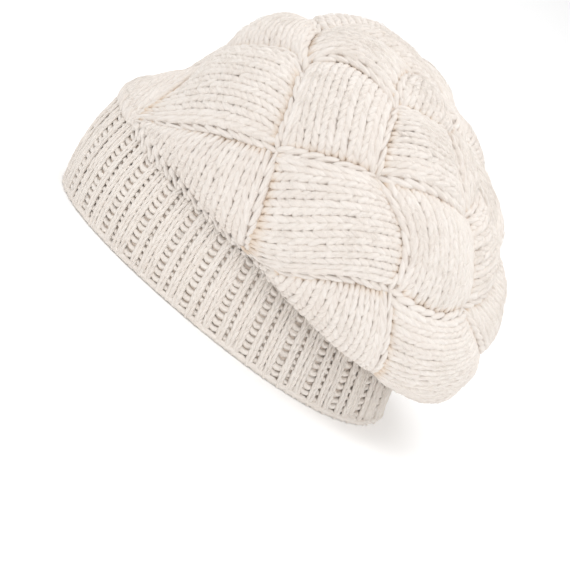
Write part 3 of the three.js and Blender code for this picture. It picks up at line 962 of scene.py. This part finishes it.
# Two plies with a groove between, fibres along them, a tone for each stitch, and painted shade in the gaps
# where the yarn lies deep.
def makeYarnGroup():
    group = bpy.data.node_groups.new("woolYarn", "ShaderNodeTree")
    face = group.interface
    for name, value in (("Light", wool["light"]), ("Dark", wool["dark"]), ("Gap Shade", wool["crownGapShade"])):
        face.new_socket(name=name, in_out="INPUT", socket_type="NodeSocketColor").default_value = value
    for name, value in yarnDefaults.items():
        face.new_socket(name=name, in_out="INPUT", socket_type="NodeSocketFloat").default_value = value
    face.new_socket(name="Color", in_out="OUTPUT", socket_type="NodeSocketColor")
    face.new_socket(name="Height", in_out="OUTPUT", socket_type="NodeSocketFloat")
    inputs = addNode(group, "NodeGroupInput", -1200, 0).outputs
    outputs = addNode(group, "NodeGroupOutput", 900, 0).inputs
    link = group.links.new

    # The plies, twisted round each other.
    uv = addNode(group, "ShaderNodeUVMap", -1200, 400, uv_map="yarn")
    split = addNode(group, "ShaderNodeSeparateXYZ", -1000, 400)
    link(uv.outputs["UV"], split.inputs[0])
    turns = mathNode(group, -800, 450, "DIVIDE", split.outputs["X"], inputs["Ply Pitch"])
    phase = mathNode(group, -600, 400, "MULTIPLY_ADD", split.outputs["Y"], yarnPattern["plies"], turns)
    middle = mathNode(group, -500, 500, "SUBTRACT", phase, 0.5)
    wave = mathNode(group, -200, 400, "SINE", mathNode(group, -400, 400, "MULTIPLY", middle, math.pi))
    ply = mathNode(group, -50, 400, "ABSOLUTE", wave)

    # The fibres, stretched along the yarn.
    tone = addNode(group, "ShaderNodeAttribute", -1200, -500, attribute_name="tone")
    strand = addNode(group, "ShaderNodeCombineXYZ", -600, 100)
    fibreAlong = mathNode(group, -800, 150, "MULTIPLY", split.outputs["X"], yarnPattern["fibreAlong"])
    fibreRound = mathNode(group, -800, 50, "MULTIPLY", split.outputs["Y"], yarnPattern["fibreRound"])
    fibreShift = mathNode(group, -800, -50, "MULTIPLY", tone.outputs["Fac"], yarnPattern["fibreShift"])
    link(fibreAlong, strand.inputs["X"])
    link(fibreRound, strand.inputs["Y"])
    link(fibreShift, strand.inputs["Z"])
    fibres = noiseNode(group, -400, 50, strand.outputs[0], yarnPattern["fibres"])
    loose = mathNode(group, -100, 100, "MULTIPLY", fibres, inputs["Fibre Depth"])
    link(mathNode(group, 300, 300, "MULTIPLY_ADD", ply, inputs["Ply Depth"], loose), outputs["Height"])

    # Where the yarn is light and where it is dark, with painted shade in the grooves between the plies.
    place = addNode(group, "ShaderNodeTexCoord", -1200, -300)
    drift = noiseNode(group, -800, -700, place.outputs["Object"], yarnPattern["drift"])
    toneShare = mathNode(group, -500, -550, "MULTIPLY", tone.outputs["Fac"], yarnPattern["toneShare"])
    driftShare = mathNode(group, -500, -700, "MULTIPLY_ADD", drift, yarnPattern["driftShare"], toneShare)
    streak = mathNode(group, -400, -500, "MULTIPLY_ADD", fibres, yarnPattern["fibreShare"], driftShare)
    paintedPlyLight = mathNode(group, -400, -650, "MULTIPLY", ply, yarnPattern["plyShadeShare"])
    shade = addNode(group, "ShaderNodeMapRange", -100, -600)
    shade.inputs["From Min"].default_value = yarnPattern["lightest"]
    shade.inputs["From Max"].default_value = yarnPattern["darkest"]
    link(mathNode(group, -250, -600, "SUBTRACT", streak, paintedPlyLight), shade.inputs["Value"])
    body = mixNode(group, 150, -400, shade.outputs[0], inputs["Light"], inputs["Dark"])

    # Painted shade: the gap colour where the yarn lies deep, standing in for the shade down there.
    raised = addNode(group, "ShaderNodeAttribute", -300, -900, attribute_name="raised")
    clear = addNode(group, "ShaderNodeMapRange", 0, -850, interpolation_type="SMOOTHSTEP")
    link(inputs["Deep"], clear.inputs["From Min"])
    link(inputs["Shallow"], clear.inputs["From Max"])
    link(raised.outputs["Fac"], clear.inputs["Value"])
    link(mixNode(group, 500, -300, clear.outputs[0], inputs["Gap Shade"], body), outputs["Color"])
    return group


def woolMaterial(name, group, values):
    material = bpy.data.materials.new(name)
    material.use_nodes = True
    tree = material.node_tree
    shader = tree.nodes["Principled BSDF"]
    yarn = addNode(tree, "ShaderNodeGroup", -600, 0)
    yarn.node_tree = group
    for socket, value in values.items():
        yarn.inputs[socket].default_value = value
    relief = addNode(tree, "ShaderNodeBump", -300, -200)
    relief.inputs["Strength"].default_value = wool["bump"]
    relief.inputs["Distance"].default_value = wool["bumpDistance"]
    tree.links.new(yarn.outputs["Color"], shader.inputs["Base Color"])
    tree.links.new(yarn.outputs["Height"], relief.inputs["Height"])
    tree.links.new(relief.outputs["Normal"], shader.inputs["Normal"])
    shader.inputs["Roughness"].default_value = wool["roughness"]
    shader.inputs["Specular IOR Level"].default_value = wool["specular"]
    shader.inputs["Sheen Weight"].default_value = wool["sheen"]
    shader.inputs["Sheen Roughness"].default_value = wool["sheenRoughness"]
    return material


# The camera looks at the hat's right side, tilted over as the worn hat is in the photo.
camera = {
    "azimuth": 90.0,
    "elevation": 13.55,
    "roll": 37.7,
    "distance": 1.2,
    "pixel": 0.00049,      # what one pixel shows at that distance, in metres
    "pixels": 570,
    "sensor": 36,
    "nearest": 0.05,
    "farthest": 50,
}
aim = {"x": 0.0, "y": 0.012, "z": 0.0233}


def addCamera():
    az, el, roll = [math.radians(camera[name]) for name in ("azimuth", "elevation", "roll")]
    data = bpy.data.cameras.new("photoCamera")
    data.sensor_width = camera["sensor"]
    data.lens = camera["sensor"] * camera["distance"] / (camera["pixels"] * camera["pixel"])
    data.clip_start = camera["nearest"]
    data.clip_end = camera["farthest"]
    eye = bpy.data.objects.new("photoCamera", data)
    bpy.context.scene.collection.objects.link(eye)
    back = Vector((math.cos(el) * math.sin(az), -math.cos(el) * math.cos(az), math.sin(el)))
    right = Vector((math.cos(az), math.sin(az), 0))
    up = back.cross(right)
    axisX = math.cos(roll) * right + math.sin(roll) * up
    axisY = math.cos(roll) * up - math.sin(roll) * right
    eye.matrix_world = Matrix((axisX, axisY, back)).transposed().to_4x4()
    eye.location = Vector(aim.values()) + back * camera["distance"]
    bpy.context.scene.camera = eye


studio = {
    "floorHalf": 12.0,
    "floorColour": (0.95, 0.95, 0.95, 1),
    "floorRoughness": 0.9,
    "floorGlow": 0.14,
    "white": (1, 1, 1, 1),
    "skyStrength": 0.80,
    "lampsAim": (0, 0, 0.08),
    "lights": [
        {"name": "keyLight", "place": (0.9, -0.35, 1.5), "watts": 7.0, "size": 1.0},
        {"name": "sideLight", "place": (1.7, 1.0, 0.6), "watts": 1.5, "size": 1.2},
        {"name": "napeLight", "place": (0.7, 1.7, 1.0), "watts": 4.4, "size": 2.6},
        {"name": "topLight", "place": (-0.5, 0.3, 1.8), "watts": 11.0, "size": 2.2},
    ],
}


def addFloor():
    mesh = bpy.data.meshes.new("floor")
    h = studio["floorHalf"]
    mesh.from_pydata([(-h, -h, 0), (h, -h, 0), (h, h, 0), (-h, h, 0)], [], [(0, 1, 2, 3)])
    floor = addPiece("floor", mesh)
    material = bpy.data.materials.new("paleFloor")
    material.use_nodes = True
    shader = material.node_tree.nodes["Principled BSDF"]
    shader.inputs["Base Color"].default_value = studio["floorColour"]
    shader.inputs["Roughness"].default_value = studio["floorRoughness"]
    shader.inputs["Emission Color"].default_value = studio["white"]
    shader.inputs["Emission Strength"].default_value = studio["floorGlow"]
    floor.data.materials.append(material)


def addLights():
    world = bpy.data.worlds.new("studio")
    world.use_nodes = True
    sky = world.node_tree.nodes["Background"]
    sky.inputs["Color"].default_value = studio["white"]
    sky.inputs["Strength"].default_value = studio["skyStrength"]
    bpy.context.scene.world = world
    for lamp in studio["lights"]:
        data = bpy.data.lights.new(lamp["name"], "AREA")
        data.energy = lamp["watts"]
        data.size = lamp["size"]
        light = bpy.data.objects.new(lamp["name"], data)
        bpy.context.scene.collection.objects.link(light)
        light.location = lamp["place"]
        fromAim = Vector(lamp["place"]) - Vector(studio["lampsAim"])
        light.rotation_euler = fromAim.to_track_quat("Z", "Y").to_euler()


print("camera and studio")
addCamera()
addFloor()
addLights()
bpy.context.scene.view_settings.view_transform = "Standard"

print("wool")
bandValues = {
    "Light": wool["bandLight"],
    "Dark": wool["bandDark"],
    "Gap Shade": wool["bandGapShade"],
    "Ply Pitch": 12.0,
    "Deep": -3.6,
    "Shallow": -1.6,
}
# The cloth under the stitches takes the band's painted gap shade.
clothValues = {"Gap Shade": wool["bandGapShade"], "Ply Depth": 0.0, "Fibre Depth": 0.0}
fibreValues = {"Light": wool["fibre"], "Dark": wool["light"], "Ply Depth": 0.0, "Fibre Depth": 0.0}
yarnGroup = makeYarnGroup()
crownWool = woolMaterial("crownWool", yarnGroup, {"Gap Shade": wool["crownGapShade"]})
bandWool = woolMaterial("bandWool", yarnGroup, bandValues)
clothWool = woolMaterial("clothWool", yarnGroup, clothValues)
fibreWool = woolMaterial("fibreWool", yarnGroup, fibreValues)

print("crown")
columns = range(lattice["around"])
crownNodes = [f"base_triangle_{column + 1}" for column in columns]
places = [triangleMap(column) for column in columns]
basket = []
for place in places:
    knitBlock(basket, place, blockWidth(place, 0.0), 1, (1.0,))
    knitPickUps(basket, place)
knit("baseTriangleStitches", basket, yarnSides, crownWool, crownNodes)
for tier in range(1, lattice["tiers"] + 1):
    basket = []
    nodes = [f"tier_{tier}_block_{column + 1}" for column in columns]
    for column in columns:
        place = knittedMap(tier, column)
        knitBlock(basket, place, blockWidth(place, 0.5), -1, (0.0, 1.0))
        places.append(place)
    knit(f"tier{tier}Stitches", basket, yarnSides, crownWool, nodes)
    crownNodes += nodes
crownCloth("crownCloth", places, clothWool, crownNodes)
basket = []
gatherTip(basket)
knit("crownTipLoops", basket, yarnSides, crownWool, ["crown_tip"])
basket = []
for place in places:
    addFuzz(basket, crownFrame(place), fuzz["perBlock"], fuzz["onBlock"], fuzz["onBlock"])
knit("crownFibres", basket, fibreSides, fibreWool, crownNodes)

print("band")
for number, cord in enumerate(bandCords):
    basket = []
    knitCords(basket, cord)
    knitBandPiece(f"bandCords{number + 1}", basket)
basket = []
knitLadders(basket)
knitBandPiece("bandLadders", basket)
basket = []
knitCastOn(basket)
knitBandPiece("castOnEdge", basket)
bandCloth("bandCloth", clothWool, ["ribbed_band"])
basket = []
addFuzz(basket, bandFrame, fuzz["onBand"], (0, band["ribs"]), fuzz["upBand"])
knit("bandFibres", basket, fibreSides, fibreWool, ["ribbed_band"])
